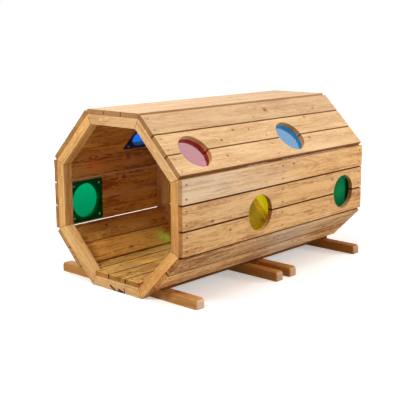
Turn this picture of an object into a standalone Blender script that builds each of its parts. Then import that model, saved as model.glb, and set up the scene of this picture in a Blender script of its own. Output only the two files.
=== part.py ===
# Wooden crawl tunnel with coloured round windows.
# Three octagonal rings of mitred bars carry boards on the outside and a floor on the inside.
# The tunnel runs along Y, its front opening faces -Y, and +X is the right-hand wall.
# The origin is under the middle of the tunnel, on the ground. All sizes are in metres.

import math

import bmesh
import bpy
from mathutils import Matrix, Vector

# Driving sizes

FIT = 0.0003                # gap between pieces that touch
TUNNEL_LENGTH = 1.200       # wall boards, end to end

BOARD_WIDTH = 0.095
BOARD_THICKNESS = 0.020
BOARD_GAP = 0.0037          # between two boards of one wall
BOARD_ARRIS = 0.0015        # rounding of the long edges on the face
BOARD_BACK_ARRIS = 0.0004   # the same on the back, so that two walls meet closely
LOWER_WALL_DROP = 0.002     # the lower walls' boards sit this much further down

BAR_HEIGHT = 0.040          # bars of the rings, from their outer to their inner side
BAR_DEPTH = 0.045           # the same bars, along the tunnel
BAR_ARRIS = 0.002

FOOT_LENGTH = 0.800
FOOT_DEPTH = 0.045          # along the tunnel
FOOT_END_RADIUS = 0.014     # upper corners of a foot's ends
FOOT_ARRIS = 0.004

FLOOR_SETBACK = 0.004       # floor boards stop short of the rings' outer faces
NOTCH_CLEARANCE = 0.001     # floor boards and edge strips to the rings beside them
STRIP_CLEARANCE = 0.0008    # from an edge strip to the wall board beside it

WINDOW_DIAMETER = 0.150
WINDOW_FROM_END = 0.150     # from the tunnel's end to the nearest window's middle
WINDOW_FROM_MIDDLE = 0.145  # from the tunnel's middle to the next window's middle
PANE_LAP = 0.015            # pane beyond the window's edge
PANE_THICKNESS = 0.004
PANE_CORNER = 0.008

SCREW_HOLE_DIAMETER = 0.004
SCREW_HOLE_DEPTH = 0.015    # in the boards
SCREW_INSET = 0.020         # from the pane's edges

NAIL_HOLE_DIAMETER = 0.004
NAIL_GRIP = 0.025           # depth of a nail's hole in the bar behind its board
NAIL_FROM_EDGE = 0.0205     # from a board's long edge
FOOT_NAIL_GRIP = 0.019      # depth of a foot's nail in its ring
FOOT_NAIL_FROM_MIDDLE = 0.090

# Numbers of sides and segments

SIDES = 8                   # of the ring
HOLE_SIDES = 6              # of a nail's or a screw's hole
WINDOW_SEGMENTS = 40
ARRIS_SEGMENTS = 2
PANE_CORNER_SEGMENTS = 3
FOOT_END_SEGMENTS = 4
SHARP_ANGLE = 40            # degrees from which a foot's edge is drawn sharp

# Colours, as red, green and blue

BOARD_COLOUR = (0.62, 0.37, 0.17)
BAR_COLOUR = (0.72, 0.47, 0.24)
FLOOR_COLOUR = (0.58, 0.34, 0.13)
FOOT_COLOUR = (0.55, 0.30, 0.12)
PANE_COLOURS = {
    "green": (0.0, 0.35, 0.14),
    "blue": (0.02, 0.25, 0.80),
    "red": (0.70, 0.04, 0.12),
    "yellow": (0.80, 0.62, 0.0),
}
WOOD_ROUGHNESS = 0.55
PANE_ROUGHNESS = 0.1

# Worked-out sizes. A wall is three boards wide with two gaps between them.

HALF_SIDE = 1.5 * BOARD_WIDTH + BOARD_GAP
HALF_ANGLE = math.pi / SIDES
RING_RADIUS = HALF_SIDE / math.tan(HALF_ANGLE)      # from the axis to a flat of the ring
BOARD_PITCH = BOARD_WIDTH + BOARD_GAP
FLOOR_UNDERSIDE = BAR_HEIGHT + FIT
NOTCH_EDGE = (RING_RADIUS - BAR_HEIGHT) * math.tan(HALF_ANGLE) - NOTCH_CLEARANCE
PANE_SIZE = WINDOW_DIAMETER + 2 * PANE_LAP
END_RING = TUNNEL_LENGTH / 2 - BAR_DEPTH / 2
END_WINDOW = TUNNEL_LENGTH / 2 - WINDOW_FROM_END
FOOT_BESIDE_RING = (BAR_DEPTH + FOOT_DEPTH) / 2 + FIT
STRIP_LENGTH = END_RING - BAR_DEPTH - 2 * NOTCH_CLEARANCE

# An edge strip fills the floor from one gap past the three floor boards to the lower edge of the lower wall,
# which slopes at half a right angle.

LOWER_WALL_END = BOARD_WIDTH / 2 + LOWER_WALL_DROP
STRIP_INNER_EDGE = 1.5 * BOARD_WIDTH + 2 * BOARD_GAP
STRIP_OUTER_EDGE = (RING_RADIUS - FLOOR_UNDERSIDE - BOARD_THICKNESS
                    - math.sqrt(2) * (LOWER_WALL_END + STRIP_CLEARANCE))
EDGE_STRIP_WIDTH = STRIP_OUTER_EDGE - STRIP_INNER_EDGE
STRIP_ACROSS = (STRIP_INNER_EDGE + STRIP_OUTER_EDGE) / 2

RINGS = {"front": -END_RING, "middle": 0.0, "rear": END_RING}

# Each foot stands beside a ring: the ring, and the side of it that the foot is on.

FEET = {
    "foot_front": ("front", 1),
    "foot_middle_front": ("middle", -1),
    "foot_middle_rear": ("middle", 1),
    "foot_rear": ("rear", -1),
}

# A wall is named with the angle in degrees that turns the top wall into it, seen from the front.

WALLS = {
    "top": 0,
    "upper_right": 45,
    "right": 90,
    "lower_right": 135,
    "bottom": 180,
    "lower_left": 225,
    "left": 270,
    "upper_left": 315,
}

# How many boards each wall has. They are numbered from the top down, or from the left on the top wall.
# The lowest third of the lower walls stays open, where the feet pass out.

BOARD_COUNTS = {
    "top": 3,
    "upper_right": 3,
    "right": 3,
    "lower_right": 2,
    "lower_left": 2,
    "left": 3,
    "upper_left": 3,
}

# Windows, with their wall, their place along the tunnel and their colour.

WINDOWS = {
    "upper_right_front": ("upper_right", -END_WINDOW, "red"),
    "upper_right_rear": ("upper_right", WINDOW_FROM_MIDDLE, "blue"),
    "right_front": ("right", -WINDOW_FROM_MIDDLE, "yellow"),
    "right_rear": ("right", END_WINDOW, "green"),
    "left_front": ("left", -END_WINDOW, "green"),
    "left_rear": ("left", WINDOW_FROM_MIDDLE, "yellow"),
    "upper_left_front": ("upper_left", -WINDOW_FROM_MIDDLE, "blue"),
    "upper_left_rear": ("upper_left", END_WINDOW, "red"),
}


def down(wall):
    """Sign of the wall's local X axis that leads down, or to the right on the top wall."""
    return 1 if WALLS[wall] < 180 else -1


def board_places(wall):
    """Middle of each board of a wall, on the wall's local X axis."""
    drop = LOWER_WALL_DROP if wall.startswith("lower") else 0
    return [down(wall) * ((index - 1) * BOARD_PITCH + drop) for index in range(BOARD_COUNTS[wall])]


def window_across(wall):
    """Middle of the wall's windows, on its local X axis: the joint of its two lower boards."""
    return down(wall) * BOARD_PITCH / 2


def in_wall(wall, x, y, z):
    """The frame of a point of a wall, its Z pointing out of the tunnel, z counted from the axis."""
    lift = Matrix.Translation((0, 0, RING_RADIUS))
    turn = Matrix.Rotation(math.radians(WALLS[wall]), 4, "Y")
    return lift @ turn @ Matrix.Translation((x, y, z))


def foot_along(foot):
    """Middle of a foot along the tunnel."""
    ring, side = FEET[foot]
    return RINGS[ring] + side * FOOT_BESIDE_RING


def strip_places():
    """Name and middle of each edge strip."""
    places = {}
    for bay, end in (("front", -1), ("rear", 1)):
        for side, sign in (("left", -1), ("right", 1)):
            places[bay + "_" + side] = (sign * STRIP_ACROSS, end * END_RING / 2)
    return places


def clear_scene():
    for item in list(bpy.data.objects):
        bpy.data.objects.remove(item, do_unlink=True)


def finish(name, colour, roughness):
    """A Principled material."""
    material = bpy.data.materials.new(name)
    material.use_nodes = True
    shader = material.node_tree.nodes["Principled BSDF"]
    shader.inputs["Base Color"].default_value = (*colour, 1)
    shader.inputs["Roughness"].default_value = roughness
    shader.inputs["Metallic"].default_value = 0
    return material


def place(name, mesh, location=(0, 0, 0), parent=None):
    """An object that shows a mesh, which other objects may share."""
    item = bpy.data.objects.new(name, mesh)
    bpy.context.collection.objects.link(item)
    item.location = location
    item.parent = parent
    return item


def paint(item, colour, roughness=WOOD_ROUGHNESS):
    """Gives an object a material of its own."""
    if not item.data.materials:
        item.data.materials.append(None)
    item.material_slots[0].link = "OBJECT"
    item.material_slots[0].material = finish(item.name, colour, roughness)


def to_mesh(name, shape):
    bmesh.ops.recalc_face_normals(shape, faces=shape.faces)
    mesh = bpy.data.meshes.new(name)
    shape.to_mesh(mesh)
    shape.free()
    return mesh


def rounded_rectangle(width, height, upper_radius, lower_radius, segments):
    """Points round a rectangle with rounded corners, about its middle."""
    points = []
    for corner, (sign_x, sign_y) in enumerate(((1, 1), (-1, 1), (-1, -1), (1, -1))):
        radius = upper_radius if sign_y > 0 else lower_radius
        for step in range(segments + 1):
            angle = math.pi / 2 * (corner + step / segments)
            x = sign_x * (width / 2 - radius) + radius * math.cos(angle)
            y = sign_y * (height / 2 - radius) + radius * math.sin(angle)
            points.append((x, y))
    return points


def lofted(sections):
    """A closed shape through sections of equally many points, with flat ends."""
    shape = bmesh.new()
    loops = [[shape.verts.new(point) for point in section] for section in sections]
    count = len(loops[0])
    for before, after in zip(loops, loops[1:]):
        for step in range(count):
            following = (step + 1) % count
            shape.faces.new((before[step], before[following], after[following], after[step]))
    shape.faces.new(loops[0])
    shape.faces.new(loops[-1])
    return shape


def ring_piece_mesh(name, sides):
    """Bars of a ring from mitre to mitre, about the tunnel's axis, centred under the top wall."""
    outline = rounded_rectangle(BAR_DEPTH, BAR_HEIGHT, BAR_ARRIS, BAR_ARRIS, ARRIS_SEGMENTS)
    setback = FIT / 2 / math.cos(HALF_ANGLE)
    sections = []
    for mitre in range(sides + 1):
        angle = (2 * mitre - sides) * HALF_ANGLE
        inward = {0: 1, sides: -1}.get(mitre, 0)
        end_wall = angle + inward * HALF_ANGLE
        shift = Vector((math.cos(end_wall), 0, -math.sin(end_wall))) * inward * setback
        section = []
        for y, z in outline:
            radius = (RING_RADIUS - BAR_HEIGHT / 2 + z) / math.cos(HALF_ANGLE)
            point = Vector((radius * math.sin(angle), y, radius * math.cos(angle)))
            section.append(point + shift)
        sections.append(section)
    return to_mesh(name, lofted(sections))


def board_mesh(name, width, length):
    """A board with rounded long edges, its underside on Z = 0."""
    outline = rounded_rectangle(width, BOARD_THICKNESS, BOARD_ARRIS, BOARD_BACK_ARRIS, ARRIS_SEGMENTS)
    sections = []
    for y in (-length / 2, length / 2):
        sections.append([(x, y, z + BOARD_THICKNESS / 2) for x, z in outline])
    return to_mesh(name, lofted(sections))


def foot_outline(inset):
    """A foot seen from the front, drawn in by the inset at its top and its ends."""
    half = FOOT_LENGTH / 2 - inset
    top = BAR_HEIGHT - inset
    radius = FOOT_END_RADIUS - inset
    points = [(-half, 0), (half, 0)]
    for sign in (1, -1):
        for step in range(FOOT_END_SEGMENTS + 1):
            turn = step if sign > 0 else FOOT_END_SEGMENTS - step
            angle = math.pi / 2 * turn / FOOT_END_SEGMENTS
            x = half - radius + radius * math.cos(angle)
            points.append((sign * x, top - radius + radius * math.sin(angle)))
    return points


def foot_mesh():
    """A cross bar with rounded upper corners and bevelled arrises, standing on Z = 0."""
    sections = []
    face = FOOT_DEPTH / 2
    body = face - FOOT_ARRIS
    for y, inset in ((-face, FOOT_ARRIS), (-body, 0), (body, 0), (face, FOOT_ARRIS)):
        sections.append([(x, y, z) for x, z in foot_outline(inset)])
    mesh = to_mesh("foot", lofted(sections))
    mesh.shade_smooth()
    mesh.set_sharp_from_angle(angle=math.radians(SHARP_ANGLE))
    return mesh


def pane_mesh():
    """A square pane with rounded corners, its wall side on Z = 0 and its room side below."""
    outline = rounded_rectangle(PANE_SIZE, PANE_SIZE, PANE_CORNER, PANE_CORNER, PANE_CORNER_SEGMENTS)
    sections = [[(x, y, z) for x, y in outline] for z in (-PANE_THICKNESS, 0)]
    return to_mesh("pane", lofted(sections))


def add_hole(shape, diameter, above, below, frame):
    """A pin about the frame's Z axis, from above its origin to below it."""
    middle = Matrix.Translation((0, 0, (above - below) / 2))
    bmesh.ops.create_cone(shape, cap_ends=True, segments=HOLE_SIDES, radius1=diameter / 2,
                          radius2=diameter / 2, depth=above + below, matrix=frame @ middle)


def cutter(name, shape):
    item = place(name, to_mesh(name, shape))
    item.hide_render = True
    item.display_type = "WIRE"
    return item


def cut(item, *tools):
    """Cuts the tools out of the object."""
    for tool in tools:
        modifier = item.modifiers.new("cut " + tool.name, "BOOLEAN")
        modifier.operation = "DIFFERENCE"
        modifier.solver = "EXACT"
        modifier.object = tool


def wall_nail_holes(shape):
    """Two holes through each wall board at each ring, on into the ring's bar."""
    offset = BOARD_WIDTH / 2 - NAIL_FROM_EDGE
    for along in RINGS.values():
        for wall in BOARD_COUNTS:
            for middle in board_places(wall):
                for across in (middle - offset, middle + offset):
                    frame = in_wall(wall, across, along, RING_RADIUS)
                    add_hole(shape, NAIL_HOLE_DIAMETER, 2 * BOARD_THICKNESS, NAIL_GRIP, frame)


def floor_nail_holes(shape):
    """Two holes through each floor board at each ring, and through each strip at each foot."""
    spots = []
    inner = BOARD_WIDTH / 2 + BOARD_GAP + NAIL_FROM_EDGE
    outer = NOTCH_EDGE - NAIL_FROM_EDGE
    for along in RINGS.values():
        for across in (BOARD_WIDTH / 2 - NAIL_FROM_EDGE, inner, outer):
            spots += [(-across, along), (across, along)]
    offset = EDGE_STRIP_WIDTH / 2 - NAIL_FROM_EDGE
    for across, middle in strip_places().values():
        for foot in FEET:
            along = foot_along(foot)
            if abs(along - middle) < STRIP_LENGTH / 2:
                spots += [(across - offset, along), (across + offset, along)]
    for x, y in spots:
        frame = Matrix.Translation((x, y, BAR_HEIGHT))
        add_hole(shape, NAIL_HOLE_DIAMETER, 2 * BOARD_THICKNESS, NAIL_GRIP, frame)


def foot_nail_holes(shape):
    """Two holes through each foot, on into the bottom bar of the ring beside it."""
    for foot, (ring, side) in FEET.items():
        for across in (-FOOT_NAIL_FROM_MIDDLE, FOOT_NAIL_FROM_MIDDLE):
            face = Vector((across, RINGS[ring] + side * BAR_DEPTH / 2, BAR_HEIGHT / 2))
            frame = Matrix.Translation(face) @ Matrix.Rotation(-side * math.pi / 2, 4, "X")
            add_hole(shape, NAIL_HOLE_DIAMETER, 1.5 * FOOT_DEPTH, FOOT_NAIL_GRIP, frame)


def screw_holes(shape):
    """Four holes through each pane, on into the boards behind it."""
    reach = PANE_SIZE / 2 - SCREW_INSET
    for wall, along, colour in WINDOWS.values():
        for x in (-reach, reach):
            for y in (-reach, reach):
                frame = in_wall(wall, window_across(wall) + x, along + y, RING_RADIUS)
                add_hole(shape, SCREW_HOLE_DIAMETER, SCREW_HOLE_DEPTH, 2 * PANE_THICKNESS, frame)


def window_holes(shape):
    for wall, along, colour in WINDOWS.values():
        frame = in_wall(wall, window_across(wall), along, RING_RADIUS)
        bmesh.ops.create_cone(shape, cap_ends=True, segments=WINDOW_SEGMENTS, radius1=WINDOW_DIAMETER / 2,
                              radius2=WINDOW_DIAMETER / 2, depth=4 * BOARD_THICKNESS, matrix=frame)


def floor_notches(shape):
    """Room for the rings' sloping bars in the side floor boards."""
    for along in RINGS.values():
        for side in (-1, 1):
            middle = (side * (NOTCH_EDGE + BOARD_WIDTH / 2), along, FLOOR_UNDERSIDE + BOARD_THICKNESS / 2)
            size = (BOARD_WIDTH, BAR_DEPTH + 2 * NOTCH_CLEARANCE, 2 * BOARD_THICKNESS, 1)
            bmesh.ops.create_cube(shape, size=1, matrix=Matrix.Translation(middle) @ Matrix.Diagonal(size))


def make_cutters():
    cutters = {}
    for name, holes in (
        ("nail_holes", (wall_nail_holes, floor_nail_holes, foot_nail_holes)),
        ("screw_holes", (screw_holes,)),
        ("window_holes", (window_holes,)),
        ("floor_notches", (floor_notches,)),
    ):
        shape = bmesh.new()
        for add in holes:
            add(shape)
        cutters[name] = cutter(name, shape)
    return cutters


def wall_empties():
    """An empty on the tunnel's axis for each wall, turned so that its Z points out of the wall."""
    empties = {}
    for wall, angle in WALLS.items():
        empty = place("wall_" + wall, None, (0, 0, RING_RADIUS))
        empty.rotation_euler = (0, math.radians(angle), 0)
        empties[wall] = empty
    return empties


def make_rings(empties, cutters):
    """Mitred bars. The three lower bars of the middle ring, under the floor, are one piece."""
    bar = ring_piece_mesh("ring_bar", 1)
    base = ring_piece_mesh("ring_base", 3)
    in_base = ("lower_right", "bottom", "lower_left")
    for ring, along in RINGS.items():
        for wall in WALLS:
            if ring == "middle" and wall in in_base:
                continue
            item = place("ring_" + ring + "_" + wall, bar, (0, along, 0), empties[wall])
            paint(item, BAR_COLOUR)
            cut(item, cutters["nail_holes"])
    item = place("ring_middle_base", base, (0, RINGS["middle"], 0), empties["bottom"])
    paint(item, BAR_COLOUR)
    cut(item, cutters["nail_holes"])


def make_wall_boards(empties, cutters):
    mesh = board_mesh("wall_board", BOARD_WIDTH, TUNNEL_LENGTH)
    glazed = {wall for wall, along, colour in WINDOWS.values()}
    for wall in BOARD_COUNTS:
        for number, across in enumerate(board_places(wall), start=1):
            name = "board_" + wall + "_" + str(number)
            board = place(name, mesh, (across, 0, RING_RADIUS + FIT), empties[wall])
            paint(board, BOARD_COLOUR)
            if wall in glazed and number > 1:
                cut(board, cutters["window_holes"], cutters["screw_holes"])
            cut(board, cutters["nail_holes"])


def make_floor(cutters):
    mesh = board_mesh("floor_board", BOARD_WIDTH, TUNNEL_LENGTH - 2 * FLOOR_SETBACK)
    for side, name in ((-1, "left"), (0, "middle"), (1, "right")):
        board = place("floor_board_" + name, mesh, (side * BOARD_PITCH, 0, FLOOR_UNDERSIDE))
        paint(board, FLOOR_COLOUR)
        if side:
            cut(board, cutters["floor_notches"])
        cut(board, cutters["nail_holes"])
    mesh = board_mesh("floor_strip", EDGE_STRIP_WIDTH, STRIP_LENGTH)
    for name, (x, y) in strip_places().items():
        strip = place("floor_strip_" + name, mesh, (x, y, FLOOR_UNDERSIDE))
        paint(strip, FLOOR_COLOUR)
        cut(strip, cutters["nail_holes"])


def make_feet(cutters):
    mesh = foot_mesh()
    for name in FEET:
        foot = place(name, mesh, (0, foot_along(name), 0))
        paint(foot, FOOT_COLOUR)
        cut(foot, cutters["nail_holes"])


def make_panes(empties, cutters):
    mesh = pane_mesh()
    for name, (wall, along, colour) in WINDOWS.items():
        location = (window_across(wall), along, RING_RADIUS)
        pane = place("pane_" + name + "_" + colour, mesh, location, empties[wall])
        paint(pane, PANE_COLOURS[colour], PANE_ROUGHNESS)
        cut(pane, cutters["screw_holes"])


def main():
    clear_scene()
    empties = wall_empties()
    cutters = make_cutters()
    make_rings(empties, cutters)
    make_wall_boards(empties, cutters)
    make_floor(cutters)
    make_feet(cutters)
    make_panes(empties, cutters)


main()
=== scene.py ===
import math

import bpy
import numpy as np
from mathutils import Euler, Matrix, Vector


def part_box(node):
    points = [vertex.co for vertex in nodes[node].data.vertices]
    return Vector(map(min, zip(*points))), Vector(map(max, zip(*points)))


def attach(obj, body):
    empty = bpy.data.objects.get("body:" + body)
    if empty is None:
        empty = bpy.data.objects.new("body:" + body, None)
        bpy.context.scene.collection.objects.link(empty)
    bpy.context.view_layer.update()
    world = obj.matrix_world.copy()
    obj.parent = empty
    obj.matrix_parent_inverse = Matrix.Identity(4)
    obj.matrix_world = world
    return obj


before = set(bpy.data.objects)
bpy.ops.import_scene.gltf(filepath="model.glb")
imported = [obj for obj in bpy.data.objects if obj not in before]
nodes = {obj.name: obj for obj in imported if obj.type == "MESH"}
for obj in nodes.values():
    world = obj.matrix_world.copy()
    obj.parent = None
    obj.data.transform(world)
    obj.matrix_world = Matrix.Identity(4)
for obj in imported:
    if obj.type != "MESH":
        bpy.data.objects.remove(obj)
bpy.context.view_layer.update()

scene = bpy.context.scene
print("frame loaded:", len(nodes), "pieces of wood and acrylic")

# Places that the whole tunnel shares, read from the frame

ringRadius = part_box("ring_front_top")[1].z / 2   # the octagon's axis height, and its distance to each wall
axisPoint = Vector((0, 0, ringRadius))
low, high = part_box("board_top_2")
boardWidth, boardThickness = high.x - low.x, high.z - low.z
low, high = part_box("ring_front_bottom")
barDepth, barHeight = high.y - low.y, high.z
ringPlaces = [(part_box(name)[0].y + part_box(name)[1].y) / 2
              for name in ("ring_front_top", "ring_middle_top", "ring_rear_top")]
footPlaces = [(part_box(name)[0].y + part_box(name)[1].y) / 2
              for name in sorted(nodes) if name.startswith("foot_")]
rightWay = Vector((1, 0, 0))
tunnelWay = Vector((0, 1, 0))
upWay = Vector((0, 0, 1))

# Degrees that turn the top wall into each wall, seen from the front

wallAngles = {
    "upper_right": 45, "upper_left": 315, "lower_right": 135, "lower_left": 225,
    "top": 0, "right": 90, "bottom": 180, "left": 270,
}


# The wall that a piece's name holds. The slanting ones are listed first, as their names hold others.
def wallOf(name):
    return next(wall for wall in wallAngles if wall in name)


# Outward and sideways directions of a wall: the unit vectors (sin a, 0, cos a) and (cos a, 0, -sin a).
def wallWays(wall):
    turn = math.radians(wallAngles[wall])
    outward = Vector((math.sin(turn), 0, math.cos(turn)))
    sideways = Vector((math.cos(turn), 0, -math.sin(turn)))
    return outward, sideways


# Middle of a node's box.
def middleOf(name):
    low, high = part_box(name)
    return (low + high) / 2


# Frame of a piece of wood: X runs along its grain, Z out of its face, Y across.
def pieceFrame(centre, grain, outward):
    turned = Matrix((grain, outward.cross(grain), outward)).transposed()
    return Matrix.Translation(centre) @ turned.to_4x4()


# Screen red, green and blue from 0 to 255, made the linear colour that the sockets take: with c as a share
# of 255, (c + 0.055) / 1.055 to the power 2.4, or c / 12.92 for the darkest.
def paint(red, green, blue):
    levels = [((c / 255 + 0.055) / 1.055) ** 2.4 if c > 10 else c / 255 / 12.92 for c in (red, green, blue)]
    return (*levels, 1)


# A new object for a mesh, lamp or camera.
def addObject(name, data):
    added = bpy.data.objects.new(name, data)
    scene.collection.objects.link(added)
    return added


# A new material and its empty tree.
def newMaterial(name):
    material = bpy.data.materials.new(name)
    material.use_nodes = True
    material.node_tree.nodes.clear()
    return material, material.node_tree


# A link or a plain value into a socket.
def feed(tree, value, socket):
    if isinstance(value, bpy.types.NodeSocket):
        tree.links.new(value, socket)
    else:
        socket.default_value = value


# A node with what goes into its sockets, in their order or by their names, and with its settings.
def addNode(tree, kind, values=(), **settings):
    node = tree.nodes.new("ShaderNode" + kind)
    for name, value in settings.items():
        setattr(node, name, value)
    for label, value in values.items() if isinstance(values, dict) else enumerate(values):
        feed(tree, value, node.inputs[label])
    return node


# Small calls that fill a node tree. Each gives back the socket with its result.

def maths(tree, operation, *values, clamp=False):
    return addNode(tree, "Math", values, operation=operation, use_clamp=clamp).outputs[0]


def times(tree, first, second):
    return maths(tree, "MULTIPLY", first, second)


def minus(tree, first, second):
    return maths(tree, "SUBTRACT", first, second)


def timesPlus(tree, value, share, base, clamp=False):
    return maths(tree, "MULTIPLY_ADD", value, share, base, clamp=clamp)


def vectorMaths(tree, operation, *values):
    node = addNode(tree, "VectorMath", values, operation=operation)
    return node.outputs["Value" if operation in ("LENGTH", "DOT_PRODUCT") else "Vector"]


# 0 at start, 1 at end, smooth between them. Start may be the larger one.
def ramp(tree, value, start, end, low=0.0, high=1.0):
    values = (value, start, end, low, high)
    return addNode(tree, "MapRange", values, interpolation_type="SMOOTHSTEP").outputs[0]


# Noise of a vector that is stretched first, so that a small stretch along X gives long streaks.
def noise(tree, vector, stretch, detail=2.0, roughness=0.5, colour=False):
    drawn = vectorMaths(tree, "MULTIPLY", vector, stretch)
    values = {"Vector": drawn, "Scale": 1, "Detail": detail, "Roughness": roughness}
    return addNode(tree, "TexNoise", values).outputs[1 if colour else 0]


# Noise between -0.5 and 0.5, to make an outline uneven.
def wobble(tree, vector, stretch):
    return minus(tree, noise(tree, vector, stretch), 0.5)


def blendColour(tree, factor, first, second, way="MIX"):
    values = {0: factor, 6: first, 7: second}   # a mix of colours takes these sockets, and gives out 2
    return addNode(tree, "Mix", values, data_type="RGBA", blend_type=way).outputs[2]


def split(tree, vector):
    return addNode(tree, "SeparateXYZ", [vector]).outputs


def combine(tree, *values):
    return addNode(tree, "CombineXYZ", values).outputs[0]


# A node group. Each input has its usual value: a number, three for a vector or four for a colour. Outputs
# are numbers, except the one named Color.
def newGroup(name, inputs, outputs):
    tree = bpy.data.node_groups.new(name, "ShaderNodeTree")
    kinds = {1: "Float", 3: "Vector", 4: "Color"}
    for label, value in inputs.items():
        kind = kinds[np.size(value)]
        socket = tree.interface.new_socket(label, in_out="INPUT", socket_type="NodeSocket" + kind)
        socket.default_value = value
    for label in outputs:
        kind = "Color" if label == "Color" else "Float"
        tree.interface.new_socket(label, in_out="OUTPUT", socket_type="NodeSocket" + kind)
    return tree, tree.nodes.new("NodeGroupInput").outputs, tree.nodes.new("NodeGroupOutput").inputs


def useGroup(tree, group, **values):
    return addNode(tree, "Group", values, node_tree=group).outputs


# Relief for a shader, from a height, and the material's output.
def finishSurface(tree, shader, height, strength, distance, surface=None):
    bump = addNode(tree, "Bump", {"Strength": strength, "Distance": distance, "Height": height})
    feed(tree, bump.outputs["Normal"], shader.inputs["Normal"])
    addNode(tree, "OutputMaterial", {"Surface": surface or shader.outputs["BSDF"]})


# One where the camera, a reflection or a see-through pane looks, nothing for light that falls on the object.
def seenMask(tree, rays):
    seen = maths(tree, "MAXIMUM", rays.outputs["Is Camera Ray"], rays.outputs["Is Glossy Ray"])
    return maths(tree, "MAXIMUM", seen, rays.outputs["Is Transmission Ray"])


# A noise's stretch is in cycles per metre along the grain, across and into the plank. Detail and roughness
# follow it. Reach is in metres, and a pair of levels is where a mask is nothing and where it is full.

grainLook = {
    "Fibres": ((11, 430, 430), 2, 0.5), "Streaks": ((2.4, 100, 100), 3, 0.6),
    "Mottle": ((34, 260, 260), 2, 0.6), "Tone": ((3.6, 22, 22), 2, 0.5),
    "flame": (17, 70, 70), "flameShift": (5, 2, 7), "flameLevel": 0.64, "flameLevels": (0.035, 0.005),
    "wander": (2.3, 3, 3), "wanderReach": (0, 0.055, 0.055), "ripple": (16, 55, 55), "rippleReach": 0.004,
    "latePower": 2.4, "lateEnd": 0.86, "yearShare": 0.6, "seedShift": (3.71, 1.37, 2.93),
}


# Grain of a sawn plank. Growth rings are cylinders round a pith line that leans and wanders:
# the ring number is the distance to that line over the spacing, and its fraction, raised to a power
# and cut off steeply, is the dark late wood. Fibres and streaks are noise drawn out along the grain.
def makePlankGrain():
    tree, given, result = newGroup("plankGrain", {
        "Vector": (0, 0, 0), "Seed": 0, "PithAcross": 0, "PithDepth": 0.05, "Rise": 0.01, "Spacing": 0.005,
        "Bend": 0,
    }, ["Rings", "Fibres", "Streaks", "Mottle", "Tone", "Flame"])
    look = grainLook
    seed = combine(tree, given["Seed"], given["Seed"], given["Seed"])
    shift = vectorMaths(tree, "MULTIPLY", seed, look["seedShift"])
    placed = vectorMaths(tree, "ADD", given["Vector"], shift)
    drift = vectorMaths(tree, "SUBTRACT", noise(tree, placed, look["wander"], colour=True), (0.5, 0.5, 0.5))
    drift = vectorMaths(tree, "MULTIPLY", drift, look["wanderReach"])
    wandered = vectorMaths(tree, "ADD", given["Vector"], drift)
    along, across, depth = split(tree, wandered)
    aside = minus(tree, across, given["PithAcross"])
    below = maths(tree, "ADD", depth, given["PithDepth"])
    below = maths(tree, "ADD", below, times(tree, along, given["Rise"]))
    distance = vectorMaths(tree, "LENGTH", combine(tree, aside, below, 0.0))
    ripple = wobble(tree, placed, look["ripple"])
    distance = timesPlus(tree, ripple, look["rippleReach"], distance)
    distance = maths(tree, "ADD", distance, given["Bend"])
    turns = maths(tree, "DIVIDE", distance, given["Spacing"])
    part = maths(tree, "FRACT", turns)
    late = maths(tree, "POWER", part, look["latePower"])
    late = times(tree, late, ramp(tree, part, 1.0, look["lateEnd"]))
    year = addNode(tree, "TexWhiteNoise", {"W": maths(tree, "FLOOR", turns)}, noise_dimensions="1D")
    strength = timesPlus(tree, year.outputs["Value"], look["yearShare"], 1 - look["yearShare"])
    feed(tree, times(tree, late, strength), result["Rings"])
    for mask in ("Fibres", "Streaks", "Mottle", "Tone"):
        feed(tree, noise(tree, placed, *look[mask]), result[mask])
    flame = noise(tree, vectorMaths(tree, "ADD", placed, look["flameShift"]), look["flame"], 1)
    edge = maths(tree, "ABSOLUTE", minus(tree, flame, look["flameLevel"]))
    feed(tree, ramp(tree, edge, *look["flameLevels"]), result["Flame"])
    return tree


# Round and drawn stretch the outline and the push. Core and halo are levels of the distance over the knot's
# size, and wave is how many rings and how deep.

knotLook = {
    "round": (0.8, 1, 0), "drawn": (0.22, 0.8, 0), "noise": (160, 160, 30), "uneven": 0.9,
    "core": (1.05, 0.75), "halo": (2.6, 0.9), "wave": (14.0, 0.12), "push": 1.6,
}


# A knot through the plank: within its outline, a circle drawn out along the grain and made uneven by noise,
# it is dark with its own fine rings. Bend is a bell-shaped push on the plank's rings, so that they flow
# round it.
def makeKnotFigure():
    tree, given, result = newGroup("knotFigure", {"Vector": (0, 0, 0), "Centre": (9, 0, 0), "Size": 0.006},
                                   ["Core", "Halo", "Bend"])
    look = knotLook
    offset = vectorMaths(tree, "SUBTRACT", given["Vector"], given["Centre"])
    outline = vectorMaths(tree, "LENGTH", vectorMaths(tree, "MULTIPLY", offset, look["round"]))
    uneven = times(tree, wobble(tree, given["Vector"], look["noise"]), look["uneven"])
    reach = maths(tree, "ADD", maths(tree, "DIVIDE", outline, given["Size"]), uneven)
    turns, deep = look["wave"]
    wave = maths(tree, "SINE", times(tree, reach, turns))
    wave = timesPlus(tree, wave, deep, 1 - deep)
    feed(tree, times(tree, ramp(tree, reach, *look["core"]), wave), result["Core"])
    feed(tree, ramp(tree, reach, *look["halo"]), result["Halo"])
    drawn = vectorMaths(tree, "LENGTH", vectorMaths(tree, "MULTIPLY", offset, look["drawn"]))
    fall = maths(tree, "DIVIDE", drawn, given["Size"])
    bell = maths(tree, "EXPONENT", times(tree, times(tree, fall, fall), -1.0))
    push = times(tree, given["Size"], look["push"])
    feed(tree, times(tree, bell, push), result["Bend"])
    return tree


# Smear is the share of the distance along the grain that counts. Noise is as above, the rest in metres.

stainLook = {"smear": 0.72, "noise": (90, 300, 300), "uneven": 0.003, "stain": (0.0052, 0.0022),
             "dent": (0.0048, 0.0018)}


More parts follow.
